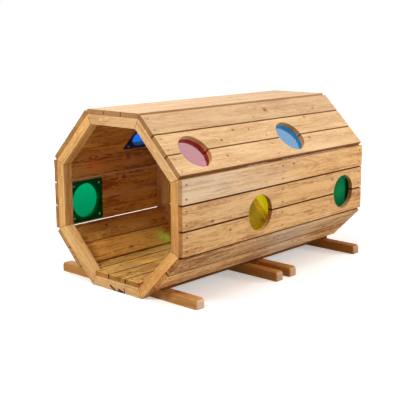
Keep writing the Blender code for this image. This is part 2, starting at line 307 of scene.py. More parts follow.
# Stain and dent round nails that stand in rows: the plank's coordinates are folded onto one nail by absolute
# values, and the mask falls off with the distance to it, longer along the grain than across. Only the face
# has them.
def makeNailStain():
    tree, given, result = newGroup("nailStain", {
        "Vector": (0, 0, 0), "RowOne": 0, "RowTwo": 0, "AcrossOne": 0, "AcrossTwo": 0,
    }, ["Stain", "Dent"])
    along, across, depth = split(tree, given["Vector"])
    length = maths(tree, "ABSOLUTE", along)
    gaps = []
    for value, ways in ((length, ("RowOne", "RowTwo")), (across, ("AcrossOne", "AcrossTwo"))):
        near = [maths(tree, "ABSOLUTE", minus(tree, value, given[way])) for way in ways]
        gaps.append(maths(tree, "MINIMUM", *near))
    smear = times(tree, gaps[0], stainLook["smear"])
    distance = vectorMaths(tree, "LENGTH", combine(tree, smear, gaps[1], 0.0))
    uneven = wobble(tree, given["Vector"], stainLook["noise"])
    distance = timesPlus(tree, uneven, stainLook["uneven"], distance)
    face = maths(tree, "GREATER_THAN", depth, 0.0)
    for mask, levels in (("Stain", stainLook["stain"]), ("Dent", stainLook["dent"])):
        feed(tree, times(tree, ramp(tree, distance, *levels), face), result[mask])
    return tree


# Metres where wear and side are nothing and full, and the noise and its levels that break the wear up.

wearAndShadeLook = {"wear": (0.0042, 0.0012), "side": (0.0028, 0.0007),
            "noise": (14, 90, 90), "patches": (0.35, 0.68)}


# Wear on the four long arrises: one where both distances, to the side and to the face, are near nothing,
# broken up by noise. Side is one on the sawn sides and their arrises: the mask for the oil and dirt that
# gather there and for painted shade in the joints.
def makeEdgeWearAndShade():
    tree, given, result = newGroup("edgeWearAndShade", {
        "Vector": (0, 0, 0), "HalfWidth": 0.05, "HalfDepth": 0.01, "Seed": 0,
    }, ["Wear", "Side"])
    along, across, depth = split(tree, given["Vector"])
    side = minus(tree, given["HalfWidth"], maths(tree, "ABSOLUTE", across))
    face = minus(tree, given["HalfDepth"], maths(tree, "ABSOLUTE", depth))
    corner = vectorMaths(tree, "LENGTH", combine(tree, side, face, 0.0))
    moved = combine(tree, maths(tree, "ADD", along, given["Seed"]), across, depth)
    patches = ramp(tree, noise(tree, moved, wearAndShadeLook["noise"], 3), *wearAndShadeLook["patches"])
    wear = ramp(tree, corner, *wearAndShadeLook["wear"])
    feed(tree, times(tree, wear, patches), result["Wear"])
    feed(tree, ramp(tree, side, *wearAndShadeLook["side"]), result["Side"])
    return tree


# Uneven is against the split's width, and a mark is full at this share of it.

splitLook = {"noise": (220, 220, 220), "uneven": 1.2, "full": 0.5}


# A drying split or bark pocket: the distance to a straight run between two points, made uneven by noise,
# under the run's width.
def makeSplitMark():
    tree, given, result = newGroup("splitMark", {
        "Vector": (0, 0, 0), "From": (9, 0, 0), "To": (9.1, 0, 0), "Width": 0.002,
    }, ["Mark"])
    fromStart = vectorMaths(tree, "SUBTRACT", given["Vector"], given["From"])
    run = vectorMaths(tree, "SUBTRACT", given["To"], given["From"])
    share = maths(tree, "DIVIDE", vectorMaths(tree, "DOT_PRODUCT", fromStart, run),
                  vectorMaths(tree, "DOT_PRODUCT", run, run), clamp=True)
    nearest = vectorMaths(tree, "MULTIPLY", run, combine(tree, share, share, share))
    distance = vectorMaths(tree, "LENGTH", vectorMaths(tree, "SUBTRACT", fromStart, nearest))
    uneven = wobble(tree, given["Vector"], splitLook["noise"])
    width = given["Width"]
    distance = timesPlus(tree, uneven, times(tree, width, splitLook["uneven"]), distance)
    feed(tree, ramp(tree, distance, width, times(tree, width, splitLook["full"])), result["Mark"])
    return tree


# How the masks are laid over each other. Shares say how much each mask adds, and from which level on.

oilLook = {
    "shares": {"Streaks": (0.5, 1.0), "Fibres": (0.5, 0.7), "Mottle": (0.5, 0.9), "Tone": (0.5, 1.3),
               "Flame": (0.0, -0.55)},
    "ground": 0.22, "halo": 0.4, "core": 0.85, "split": (0.028, 0.011, 0.004, 1),
    # The pale mix: the feet's sawn ends have paled, and the boards' pale patches are partly painted light.
    "paleAndLit": 0.62, "paleAndLitColour": (0.86, 0.80, 0.72, 1), "wear": 0.4, "wearColour": (0.92, 0.74, 0.50, 1),
    # Inside is painted shade with warm bounce light, multiplied onto the boards' inner faces. Side is how
    # dark dirt and painted shade make the sawn sides.
    "side": 0.8, "shadePowers": (0.9, 1.35, 2.0), "inside": (0.93, 0.74, 0.32, 1),
    "roughness": 0.52,
    "roughShares": {"Rings": -0.1, "Fibres": 0.14, "End": 0.22, "Side": 0.3, "Core": -0.12},
    "heightShares": {"Fibres": 0.7, "Rings": 0.35, "Streaks": 0.5, "Core": 0.5, "Dent": -1.4, "Mark": -2.0},
}


# Oiled softwood from the masks: pale early wood mixed towards deep late wood, shaded by streaks and tone,
# then knots, stains, splits, worn arrises, sawn sides and end grain over it.
def makeOiledWood():
    tree, given, result = newGroup("oiledWood", {
        "Pale": (1, 1, 1, 1), "Deep": (0.5, 0.5, 0.5, 1), "Knot": (0.1, 0.1, 0.1, 1), "Figure": 0.6,
        "Fibres": 0.5, "Streaks": 0.5, "Mottle": 0.5, "Tone": 0.5, "Contrast": 1, "EndShade": 0.6,
        "StainShare": 0.78, "Rings": 0, "Flame": 0, "Core": 0, "Halo": 0, "Stain": 0, "Dent": 0, "Mark": 0,
        "Wear": 0, "Side": 0, "End": 0, "Bleach": 0, "Inside": 0,
    }, ["Color", "Roughness", "Height"])
    look = oilLook
    depth = times(tree, given["Rings"], given["Figure"])
    for mask, (level, share) in look["shares"].items():
        depth = timesPlus(tree, minus(tree, given[mask], level), share, depth)
    depth = timesPlus(tree, depth, given["Contrast"], look["ground"])
    depth = timesPlus(tree, given["Halo"], look["halo"], depth, True)
    colour = blendColour(tree, depth, given["Pale"], given["Deep"])
    paledAndLit = blendColour(tree, look["paleAndLit"], given["Pale"], look["paleAndLitColour"])
    colour = blendColour(tree, given["Bleach"], colour, paledAndLit)
    colour = blendColour(tree, times(tree, given["Core"], look["core"]), colour, given["Knot"])
    stained = times(tree, given["Stain"], given["StainShare"])
    colour = blendColour(tree, stained, colour, given["Knot"])
    colour = blendColour(tree, given["Mark"], colour, look["split"])
    wear = times(tree, given["Wear"], look["wear"])
    worn = blendColour(tree, wear, colour, look["wearColour"])
    dulled = times(tree, given["End"], minus(tree, 1.0, given["EndShade"]))
    ending = minus(tree, 1.0, dulled)
    # The sawn sides darken for oil and dirt and as painted shade in the joints, and the end grain darkens.
    sided = times(tree, ending, timesPlus(tree, given["Side"], -look["side"], 1.0))
    shade = combine(tree, *(maths(tree, "POWER", sided, power) for power in look["shadePowers"]))
    shaded = blendColour(tree, 1.0, worn, shade, "MULTIPLY")
    # The inner faces get painted shade with warm bounce light.
    feed(tree, blendColour(tree, given["Inside"], shaded, look["inside"], "MULTIPLY"), result["Color"])
    rough = look["roughness"]
    for mask, share in look["roughShares"].items():
        rough = timesPlus(tree, given[mask], share, rough)
    feed(tree, rough, result["Roughness"])
    height = 0.0
    for mask, share in look["heightShares"].items():
        height = timesPlus(tree, given[mask], share, height)
    feed(tree, height, result["Height"])
    return tree


plankGrain = makePlankGrain()
knotFigure = makeKnotFigure()
nailStain = makeNailStain()
edgeWearAndShade = makeEdgeWearAndShade()
splitMark = makeSplitMark()
oiledWood = makeOiledWood()
print("wood node groups built")

# How each kind of wood looks. Colours are screen values from 0 to 255, spacing and bump are metres.
# Figure is the late wood's strength, endShade the brightness of end grain against the face.

woodLooks = {
    "board": {"pale": (234, 194, 142), "deep": (170, 110, 56), "knot": (92, 52, 26), "figure": 0.42,
              "spacing": 0.0062, "endShade": 0.6, "bump": 0.0005, "contrast": 1.0},
    "bar": {"pale": (240, 190, 120), "deep": (176, 112, 48), "knot": (104, 58, 24), "figure": 0.7,
            "spacing": 0.005, "endShade": 0.75, "bump": 0.0004, "contrast": 1.0},
    "floor": {"pale": (242, 198, 116), "deep": (176, 118, 54), "knot": (96, 54, 24), "figure": 0.6,
              "spacing": 0.006, "endShade": 0.6, "bump": 0.0006, "contrast": 1.9},
    "foot": {"pale": (214, 154, 86), "deep": (162, 102, 46), "knot": (100, 56, 26), "figure": 0.45,
             "spacing": 0.005, "endShade": 1.2, "bump": 0.0004, "contrast": 0.8},
}

# Tints of single pieces and walls, which multiply red, green and blue. The longest name that fits is used.
# The darker tints of the middle and rear feet are painted shade, and the brighter ones of the lower left
# wall's boards and of the lower right wall's second board are painted light.

tintsAndPaintedLight = {
    "board_top": (0.97, 1.0, 1.09), "board_right": (1.03, 0.99, 0.92), "board_lower_left": (1.06, 1.08, 1.1),
    "board_upper_right": (0.96, 0.97, 0.99), "board_upper_right_1": (0.92, 0.93, 0.965),
    "board_upper_right_3": (1.0, 1.01, 1.04),
    "board_lower_right": (1.0, 0.96, 0.9), "board_lower_right_2": (1.16, 1.12, 1.02),
    "ring_front_top": (1.03, 1.06, 1.22), "ring_front_bottom": (1.0, 1.02, 1.12),
    "ring_front_right": (0.98, 0.92, 0.84), "ring_front_left": (1.03, 1.02, 1.02),
    "ring_front_upper_right": (1.04, 1.09, 1.24), "ring_front_upper_left": (1.04, 1.05, 1.06),
    "ring_front_lower_right": (1.06, 1.02, 0.94), "ring_front_lower_left": (1.04, 1.07, 1.13),
    "foot_middle": (0.92, 0.86, 0.70), "foot_rear": (0.82, 0.72, 0.42), "floor_strip": (0.93, 0.93, 0.88),
}

# How strong the grain is on these walls' faces, against the look's own contrast, and on their inner faces.

contrasts = {"board_top": 0.42, "board_upper_right": 0.7, "board_right": 1.35, "board_upper_left": 0.8,
             "board_lower_left": 1.2, "board_lower_right": 2.9}
insideContrasts = {"board_left": 3.3, "board_upper_left": 2.5, "board_lower_left": 1.8}

# How dark the sawn sides and the joints between the boards are, against the full shade: dirt in the joints
# and painted shade. A board at a wall's upper edge has its upper side in the light: its share of the painted
# shade, and the depth from the board's middle above which it has that share. Below that depth the side keeps
# the full painted shade, a painted shadow at the bottom of the groove.

jointShades = {"board_top": 0.4, "board_upper_right": 0.75, "board_left": 0.05,
               "board_upper_left": 0.2, "board_lower_left": 0.5, "ring": 0.8}
litSides = {"board_upper_right_1": (0.45, -1.0), "board_right_1": (0.3, -1.0),
            "board_lower_right_1": (0.02, 0.0)}

# How dark the nails stain these walls, and how much the feet's sawn ends have paled.

stainShares = {"board_top": 0.351, "board_upper": 0.351}
endBleaches = {"foot_front": 0.45, "foot": 0.25}

# Knots, as metres along the grain and across it from the piece's middle, and size. Across is up on the right
# walls, down on the left ones, and to the left on the top and the floor. The knots on the upper right and
# right walls stand where the photograph has them.

knots = {
    "board_upper_right_1": [(0.104, 0.004, 0.007), (0.43, -0.02, 0.004)],
    "board_upper_right_2": [(-0.173, 0.023, 0.004), (-0.080, 0.015, 0.0035), (-0.272, -0.018, 0.0035),
                            (0.326, 0.038, 0.004)],
    "board_upper_right_3": [(-0.299, 0.006, 0.004), (0.260, 0.025, 0.005)],
    "board_right_1": [(0.074, 0.027, 0.0055)],
    "board_right_2": [(-0.436, -0.032, 0.0045), (0.362, 0.018, 0.004)],
    "board_right_3": [(-0.332, 0.013, 0.004)],
    "board_top_1": [(-0.31, 0.012, 0.006), (0.35, -0.02, 0.005)],
    "board_top_2": [(0.12, 0.018, 0.006)],
    "board_top_3": [(-0.14, -0.016, 0.005), (0.47, 0.01, 0.004)],
    "board_left_1": [(-0.20, -0.02, 0.006), (0.28, 0.015, 0.006)],
    "board_left_2": [(-0.225, -0.026, 0.006), (0.31, 0.02, 0.005)],
    "board_left_3": [(0.05, 0.022, 0.006), (-0.47, -0.01, 0.004)],
    "board_upper_left_1": [(0.22, 0.02, 0.007)],
    "board_upper_left_2": [(-0.42, -0.01, 0.005), (0.02, 0.02, 0.005)],
    "board_upper_left_3": [(0.15, -0.022, 0.006)],
    "board_lower_left_1": [(-0.36, -0.015, 0.005), (0.33, 0.01, 0.006)],
    "board_lower_left_2": [(-0.30, 0.02, 0.006), (0.12, -0.01, 0.004)],
    "board_lower_right_1": [(-0.02, 0.018, 0.005), (0.38, -0.02, 0.006)],
    "board_lower_right_2": [(-0.33, 0.012, 0.004), (0.21, 0.015, 0.005)],
    "floor_board_middle": [(-0.5206, 0.007, 0.006), (0.2, -0.02, 0.005)],
    "floor_board_left": [(-0.18, 0.02, 0.005)],
    "floor_board_right": [(-0.548, 0.004, 0.004), (0.36, 0.01, 0.006)],
    "foot_front": [(0.27, 0.006, 0.005)],
    "foot_rear": [(-0.22, -0.004, 0.005)],
}

# Splits, as two points and a width, on a piece's own axes: along the grain, across, out of the face.

splits = {
    "ring_front_bottom": [((0.036, -0.024, 0.002), (0.006, -0.024, 0.018), 0.0060),
                          ((0.008, -0.024, 0.0195), (-0.050, -0.024, 0.0180), 0.0056),
                          ((-0.014, -0.024, 0.010), (-0.038, -0.024, 0.015), 0.0066),
                          ((-0.047, -0.024, -0.002), (-0.049, -0.024, 0.016), 0.0038)],
    "foot_front": [((0.388, -0.0245, 0.004), (0.388, -0.0245, -0.016), 0.0016)],
    "ring_front_lower_right": [((-0.020, -0.024, 0.006), (0.012, -0.024, 0.004), 0.0008)],
    "ring_front_top": [((-0.052, -0.024, 0.008), (-0.030, -0.024, 0.010), 0.0008)],
}

# Boards whose face is painted paler in a patch: where along the tunnel, how far it reaches each way, how
# strong.
# On the lower right wall the patch is painted light, and the rear that it leaves out is painted shade.

paleAndLitPatches = {"board_right_1": (-0.5, 0.8, 0.74), "board_right_2": (-0.3, 0.4, 0.14),
            "board_lower_right_1": (0.1, 0.38, 0.5), "board_lower_right_2": (0.1, 0.38, 0.6)}


# What makeWood lays over a piece. End is how much a face looks along the grain where it starts and where it
# is all end grain, wisps turn streaks into shares of the pale patch, and inside, litEdge and mitre are
# metres.
# Stain and insideContrast are for pieces that have no entry of their own above.

faceLook = {"end": (0.55, 0.9), "wisps": (0.62, 0.38, 0.45, 1.0), "inside": (0.0015, 0.0005),
            "litEdge": 0.002, "mitre": (0.0016, 0.0006), "stain": 0.78, "insideContrast": 2.0,
            "specular": 0.2, "relief": 0.7}


# Shade along a bar's mitres: the mitre is where the distance along the bar equals the distance from the
# ring's axis times the tangent of half a corner, and the shade falls off from it.
def mitreShade(tree, along, depth):
    radius = maths(tree, "ADD", depth, ringRadius - barHeight / 2)
    reach = times(tree, radius, math.tan(math.pi / 8))
    return ramp(tree, minus(tree, reach, maths(tree, "ABSOLUTE", along)), *faceLook["mitre"])


# The entry whose name is the longest that a piece's name starts with.
def fitting(entries, name, otherwise):
    key = max((key for key in entries if name.startswith(key)), key=len, default=None)
    return entries.get(key, otherwise)


# A wood for one piece: its coordinates are turned onto the grain, the groups give their masks,
# and the oiled wood group paints them.
def makeWood(name, kind, place, half, rows, across, draw):
    look = woodLooks[kind]
    material, tree = newMaterial("wood_" + name)
    turned = {"Vector": addNode(tree, "TexCoord").outputs["Object"], "Location": place.translation,
              "Rotation": place.to_euler()}
    spot = addNode(tree, "Mapping", turned, vector_type="TEXTURE").outputs["Vector"]
    along, over, depth = split(tree, spot)
    core = halo = bend = mark = stain = dent = paleAndLit = inside = side = 0.0
    for knotAlong, knotAcross, size in knots.get(name, []):
        knot = useGroup(tree, knotFigure, Vector=spot, Centre=(knotAlong, knotAcross, 0), Size=size)
        core = maths(tree, "MAXIMUM", knot["Core"], core)
        halo = maths(tree, "MAXIMUM", knot["Halo"], halo)
        bend = maths(tree, "ADD", knot["Bend"], bend)
    for start, end, width in splits.get(name, []):
        found = useGroup(tree, splitMark, Vector=spot, From=start, To=end, Width=width)
        mark = maths(tree, "MAXIMUM", found["Mark"], mark)
    if rows:
        stained = useGroup(tree, nailStain, Vector=spot, RowOne=rows[0], RowTwo=rows[1],
                           AcrossOne=across[0], AcrossTwo=across[1])
        stain, dent = stained["Stain"], stained["Dent"]
    grain = useGroup(tree, plankGrain, Vector=spot, Seed=draw["seed"], PithAcross=draw["pithAcross"],
                     PithDepth=draw["pithDepth"], Rise=draw["rise"],
                     Spacing=look["spacing"] * draw["spacing"], Bend=bend)
    worn = useGroup(tree, edgeWearAndShade, Vector=spot, HalfWidth=half[0], HalfDepth=half[1], Seed=draw["seed"])
    surface = addNode(tree, "NewGeometry")
    grainWay = place.to_3x3().col[0]
    facing = maths(tree, "ABSOLUTE", vectorMaths(tree, "DOT_PRODUCT", surface.outputs["Normal"], grainWay))
    ending = ramp(tree, facing, *faceLook["end"])
    # A pale patch along a board: on the lower right wall it is painted light, and the rear beyond it stays
    # darker as painted shade.
    if name in paleAndLitPatches:
        middle, reach, amount = paleAndLitPatches[name]
        away = maths(tree, "ABSOLUTE", minus(tree, along, middle))
        wisps = ramp(tree, grain["Streaks"], *faceLook["wisps"])
        paleAndLit = times(tree, ramp(tree, away, reach, 0.0, 0.0, amount), wisps)
    if kind == "foot":
        paleAndLit = times(tree, ending, fitting(endBleaches, name, 0.0))
    # The piece's tint, some of them painted light and some painted shade, times the plank's own drawn share.
    tint = [part * draw["tint"] for part in fitting(tintsAndPaintedLight, name, (1, 1, 1))]
    contrast = look["contrast"] * fitting(contrasts, name, 1)
    shade = fitting(jointShades, name, 1.0)
    pale = paint(*(c * t for c, t in zip(look["pale"], tint)))
    deep = paint(*(c * t for c, t in zip(look["deep"], tint)))
    # The boards' inner faces: a mask for painted shade with warm bounce light, and their own grain contrast.
    if kind == "board":
        inside = ramp(tree, depth, *(height - half[1] for height in faceLook["inside"]))
        inner = fitting(insideContrasts, name, faceLook["insideContrast"])
        contrast = timesPlus(tree, inside, inner - contrast, contrast)
    # Sawn sides: darkened for dirt and as painted shade in the joints, less on an upper side that faces the
    # light.
    if kind in ("floor", "board"):
        side = times(tree, worn["Side"], shade)
    if name in litSides:
        share, line = litSides[name]
        upper = maths(tree, "GREATER_THAN", over, 0.0)
        lit = times(tree, upper, ramp(tree, depth, line, line + faceLook["litEdge"]))
        side = times(tree, side, timesPlus(tree, lit, share - 1, 1.0))
    if kind == "bar" and name != "ring_middle_base":   # that one holds three bars, below the floor
        side = times(tree, mitreShade(tree, along, depth), shade)
    wood = useGroup(tree, oiledWood, **grain, Pale=pale, Deep=deep, Knot=paint(*look["knot"]),
                    Figure=look["figure"], Contrast=contrast, Inside=inside, Core=core, Halo=halo,
                    Stain=stain, StainShare=fitting(stainShares, name, faceLook["stain"]), Dent=dent,
                    Mark=mark, Wear=worn["Wear"], Side=side, End=ending, EndShade=look["endShade"],
                    Bleach=paleAndLit)
    shader = addNode(tree, "BsdfPrincipled", {"Base Color": wood["Color"], "Roughness": wood["Roughness"],
                                              "Specular IOR Level": faceLook["specular"]})
    finishSurface(tree, shader, wood["Height"], faceLook["relief"], look["bump"])
    return material


nailLook = {
    "fromEdge": 0.0205,        # from a board's edge to its nails
    "floorOuter": 0.1081,      # from the tunnel's middle to the outer floor boards' outer nails
    "footFromMiddle": 0.090,   # from the tunnel's middle to the foot nails
    "headRadius": 0.0016,
    "head": [(0, 0.0003), (0.3, 0.0002), (0.55, 0), (0.9, 0.0001), (1, 0.0004), (1, 0.0018)],
    "shankRadius": 0.0012,
    "sunk": 0.0004,
    "neck": 0.003,
    "point": 0.004,
    "wallLength": 0.044,
    "footLength": 0.062,
    "sides": 10,
}
nailWay = boardWidth / 2 - nailLook["fromEdge"]   # from a board's middle line to its nails


# The kind of a wooden piece, the frame of its grain, half its width and depth, and how far the nails in its
# face are from its middle, along and across.
def woodPlace(name):
    rows = (ringPlaces[2], 0.0)
    if name.startswith("board_"):
        place = pieceFrame(middleOf(name), tunnelWay, wallWays(wallOf(name))[0])
        return "board", place, (boardWidth / 2, boardThickness / 2), rows, (nailWay, -nailWay)
    if name.startswith("ring_"):
        wall = "bottom" if name.endswith("base") else wallOf(name)
        outward, sideways = wallWays(wall)
        centre = axisPoint + outward * (ringRadius - barHeight / 2)
        centre.y = middleOf(name).y
        return "bar", pieceFrame(centre, sideways, outward), (barDepth / 2, barHeight / 2), None, None
    if name.startswith("foot_"):
        place = pieceFrame(middleOf(name), rightWay, upWay)
        return "foot", place, (barDepth / 2, barHeight / 2), None, None
    place = pieceFrame(middleOf(name), tunnelWay, upWay)
    low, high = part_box(name)
    half = ((high.x - low.x) / 2, (high.z - low.z) / 2)
    if name.startswith("floor_strip"):
        row = abs(footPlaces[0 if place.translation.y < 0 else 3] - place.translation.y)
        way = half[0] - nailLook["fromEdge"]
        return "floor", place, half, (row, row), (way, -way)
    if name.endswith("middle"):
        return "floor", place, half, rows, (nailWay, -nailWay)
    side = 1 if name.endswith("right") else -1
    outer = nailLook["floorOuter"] - abs(place.translation.x)
    return "floor", place, half, rows, (nailWay * side, -outer * side)


# What differs from plank to plank, drawn in this order: the place of the pith line in metres and its lean,
# shares of the rings' spacing and of the tint, and where in the noise the plank is cut.

drawRanges = {"pithAcross": (-0.03, 0.03), "pithDepth": (0.025, 0.075), "rise": (-0.035, 0.035),
              "spacing": (0.8, 1.25), "tint": (0.965, 1.03), "seed": (1, 40)}
rng = np.random.default_rng(11)
woodNodes = [name for name in sorted(nodes) if not name.startswith("pane_")]
for name in woodNodes:
    draw = {label: rng.uniform(*ends) for label, ends in drawRanges.items()}
    wood = makeWood(name, *woodPlace(name), draw)
    for material in nodes[name].material_slots:
        material.material = wood
print("woods made:", len(woodNodes))

# The see-through panes. Through is the colour of white light seen through the sheet.

acrylicLooks = {
    "green": {"through": (0, 160, 104), "roughness": 0.04, "refraction": 1.12, "clear": 0.85},
    "deepGreen": {"through": (0, 96, 54), "roughness": 0.04, "refraction": 1.06, "clear": 0.85},
    "blue": {"through": (0, 112, 160), "roughness": 0.05, "refraction": 1.5, "clear": 0.95},
    "deepBlue": {"through": (10, 110, 235), "roughness": 0.05, "refraction": 1.25, "clear": 0.95},
    "red": {"through": (204, 10, 92), "roughness": 0.05, "refraction": 1.82, "clear": 0.95},
    "yellow": {"through": (206, 190, 0), "roughness": 0.04, "refraction": 1.12, "clear": 0.88},
}

# Panes that stand before the dark inside or the open sky, and look deeper than their colour's other panes.
# The darker green stands in for the dark behind it as painted shade, and the stronger blue for the sky's
# light as painted light.

shadedAndLitPanes = {"pane_upper_left_front_blue": "deepBlue", "pane_right_rear_green": "deepGreen"}

# Noises are given as stretch and detail, relief as strength and metres.

acrylicMarks = {"smears": ((18, 26, 22), 3), "smearLevels": (0.45, 0.75), "scratches": ((900, 60, 900), 2),
                "scratchLevels": (0.62, 0.75), "scratchShare": 0.5, "amount": 0.08,
                "wave": ((9, 9, 9), 1), "scratchHeight": -0.02, "relief": (0.25, 0.001)}


# Handling marks on acrylic: fine scratches are noise drawn out one way, and smears are wide soft noise.
def makeAcrylicScuff():
    tree, given, result = newGroup("acrylicScuff", {"Vector": (0, 0, 0), "Base": 0.05},
                                   ["Roughness", "Height"])
    look, spot = acrylicMarks, given["Vector"]
    smears = ramp(tree, noise(tree, spot, *look["smears"]), *look["smearLevels"])
    scratches = ramp(tree, noise(tree, spot, *look["scratches"]), *look["scratchLevels"])
    both = timesPlus(tree, scratches, look["scratchShare"], smears)
    feed(tree, timesPlus(tree, both, look["amount"], given["Base"]), result["Roughness"])
    wave = noise(tree, spot, *look["wave"])
    feed(tree, timesPlus(tree, scratches, look["scratchHeight"], wave), result["Height"])
    return tree


# Acrylic: a refracting sheet. The light that it lets through has the square root of its colour, once for each
# of its two faces.
def makeAcrylic(name, look, scuff):
    material, tree = newMaterial("acrylic_" + name)
    spot = addNode(tree, "TexCoord").outputs["Object"]
    marks = useGroup(tree, scuff, Vector=spot, Base=look["roughness"])
    colour = paint(*look["through"])
    shader = addNode(tree, "BsdfPrincipled", {"Base Color": colour, "Transmission Weight": look["clear"],
                                              "IOR": look["refraction"], "Roughness": marks["Roughness"]})
    clear = addNode(tree, "BsdfTransparent", {"Color": [c ** 0.5 for c in colour]})
    rays = addNode(tree, "LightPath")
    either = addNode(tree, "MixShader", [rays.outputs["Is Shadow Ray"], shader.outputs[0], clear.outputs[0]])
    finishSurface(tree, shader, marks["Height"], *acrylicMarks["relief"], either.outputs[0])
    return material


acrylicScuff = makeAcrylicScuff()
acrylics = {name: makeAcrylic(name, look, acrylicScuff) for name, look in acrylicLooks.items()}
panes = [name for name in sorted(nodes) if name.startswith("pane_")]
for name in panes:
    colour = shadedAndLitPanes.get(name, name.split("_")[-1])
    for material in nodes[name].material_slots:
        material.material = acrylics[colour]
print("acrylic panes:", len(panes))

# Marks on steel, given in the same way

steelMarks = {"fine": ((1500, 1500, 1500), 2), "patches": ((420, 420, 420), 2), "patchLevels": (0.4, 0.7),
              "patchRoughness": 0.25, "relief": (0.3, 0.0001)}


# Steel with wear: fine noise is its relief, and tarnish darkens and roughens it in patches.
def makeSteelScuff():
    tree, given, result = newGroup("steelScuff", {
        "Vector": (0, 0, 0), "Base": 0.3, "Bright": (0.8, 0.8, 0.8, 1), "Dark": (0.2, 0.2, 0.2, 1),
    }, ["Color", "Roughness", "Height"])
    look, spot = steelMarks, given["Vector"]
    patches = ramp(tree, noise(tree, spot, *look["patches"]), *look["patchLevels"])
    feed(tree, blendColour(tree, patches, given["Bright"], given["Dark"]), result["Color"])
    rough = timesPlus(tree, patches, look["patchRoughness"], given["Base"])
    feed(tree, rough, result["Roughness"])
    feed(tree, noise(tree, spot, *look["fine"]), result["Height"])
    return tree


# Steel of the nails or the screws: a metal of its bright colour, with the marks over it.
def makeSteel(name, bright, dark, roughness, scuff):
    material, tree = newMaterial(name)
    spot = addNode(tree, "TexCoord").outputs["Object"]
    marks = useGroup(tree, scuff, Vector=spot, Bright=paint(*bright), Dark=paint(*dark), Base=roughness)
    shader = addNode(tree, "BsdfPrincipled", {"Metallic": 1, "Base Color": marks["Color"],
                                              "Roughness": marks["Roughness"]})
    finishSurface(tree, shader, marks["Height"], *steelMarks["relief"])
    return material


steelScuff = makeSteelScuff()
nailSteel = makeSteel("nailSteel", (120, 108, 96), (62, 50, 40), 0.45, steelScuff)
screwSteel = makeSteel("screwSteel", (226, 226, 222), (168, 168, 164), 0.22, steelScuff)


# A turned surface: each row of the profile is a circle of that radius at that height, and the two ends close
# in a point. Gives the points and the faces, which point outwards when the profile runs from the top down.
def turnedSurface(profile, sides):
    profile = np.asarray(profile, float)
    inner = profile[1:-1]
    angle = np.arange(sides) * 2 * np.pi / sides
    ring = np.stack([np.cos(angle), np.sin(angle)], 1)
    points = np.concatenate([inner[:, None, :1] * ring, np.repeat(inner[:, None, 1:], sides, 1)], 2)
    points = np.concatenate([[[0, 0, profile[0, 1]]], points.reshape(-1, 3), [[0, 0, profile[-1, 1]]]])
    row, column = np.meshgrid(np.arange(len(inner) - 1), np.arange(sides), indexing="ij")
    after = (column + 1) % sides
    start = 1 + row * sides
    quads = np.stack([start + column, start + sides + column, start + sides + after, start + after], -1)
    turn = np.arange(sides)
    last = 1 + (len(inner) - 1) * sides
    top = np.stack([np.zeros_like(turn), 1 + turn, 1 + (turn + 1) % sides], -1)
    bottom = np.stack([np.full_like(turn, len(points) - 1), last + (turn + 1) % sides, last + turn], -1)
    return points, quads.reshape(-1, 4).tolist() + top.tolist() + bottom.tolist()


# Copies of one shape at many frames, as one mesh: each point is multiplied by each frame.
def placedCopies(name, points, faces, frames, material):
    frames = np.array([[list(row) for row in f] for f in frames])
    full = np.concatenate([points, np.ones((len(points), 1))], 1)
    spread = np.einsum("fij,pj->fpi", frames, full)[..., :3].reshape(-1, 3)
    count = len(points)
    allFaces = [[i + k * count for i in face] for k in range(len(frames)) for face in faces]
    mesh = bpy.data.meshes.new(name)
    mesh.from_pydata(spread.tolist(), [], allFaces)
    mesh.materials.append(material)
    mesh.update()
    mesh.shade_smooth()
    mesh.set_sharp_from_angle(angle=math.radians(40))
    piece = addObject(name, mesh)
    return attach(piece, "root")


# A lost-head nail, its domed head sunk a little under the face, with a punch dimple and a point. The head's
# profile is in shares of its radius and metres below its top.
def nailShape(length):
    look = nailLook
    profile = [(look["headRadius"] * share, -look["sunk"] - down) for share, down in look["head"]]
    shank = look["shankRadius"]
    profile += [(shank, -look["sunk"] - look["neck"]), (shank, look["point"] - length), (0, -length)]
    return turnedSurface(profile, look["sides"])


screwLook = {
    "headRadius": 0.0042, "headHeight": 0.0026, "shankRadius": 0.0016, "length": 0.0165, "point": 0.003,
    "rim": 0.45, "domeRows": 9, "edge": 0.0002, "underside": 0.96,
    "armHalf": 0.0007, "armLength": 0.0026, "recess": 0.0013, "armSoft": 0.0003, "endSoft": 0.0005,
    "sides": 32, "fromEdge": 0.020,
}


# A pan-head screw with a cross recess. Its head is a quarter of a sine wave over a straight rim, which is
# this share of its height, and is lowered inside a cross: where the smaller of the two distances to its arms
# is under their half width, and the radius is under the arms' length.
def screwShape():
    look = screwLook
    radius, shank = look["headRadius"], look["shankRadius"]
    turn = np.linspace(0, 1, look["domeRows"]) * np.pi / 2
    top = np.stack([radius * np.sin(turn),
                    look["headHeight"] * (look["rim"] + (1 - look["rim"]) * np.cos(turn))], 1)
    rest = [(radius, look["edge"]), (radius * look["underside"], 0), (shank, 0),
            (shank, -look["length"] + look["point"]), (0, -look["length"])]
    points, faces = turnedSurface(np.concatenate([top, rest]), look["sides"])
    reach = np.hypot(points[:, 0], points[:, 1])
    arm = np.minimum(np.abs(points[:, 0]), np.abs(points[:, 1]))
    inCross = np.clip((look["armHalf"] - arm) / look["armSoft"] + 0.5, 0, 1)
    inReach = np.clip((look["armLength"] - reach) / look["endSoft"] + 0.5, 0, 1)
    points[:, 2] -= np.where(points[:, 2] > look["edge"], look["recess"] * inCross * inReach, 0)
    return points, faces


# Frames of the nails of one ring's boards: two across each board, at the board's outer face.
def wallNailFrames(along):
    frames = []
    for name in woodNodes:
        if name.startswith("board_"):
            outward, sideways = wallWays(wallOf(name))
            for over in (-nailWay, nailWay):
                centre = middleOf(name) + outward * boardThickness / 2 + sideways * over
                centre.y = along
                frames.append(pieceFrame(centre, tunnelWay, outward))
    return frames


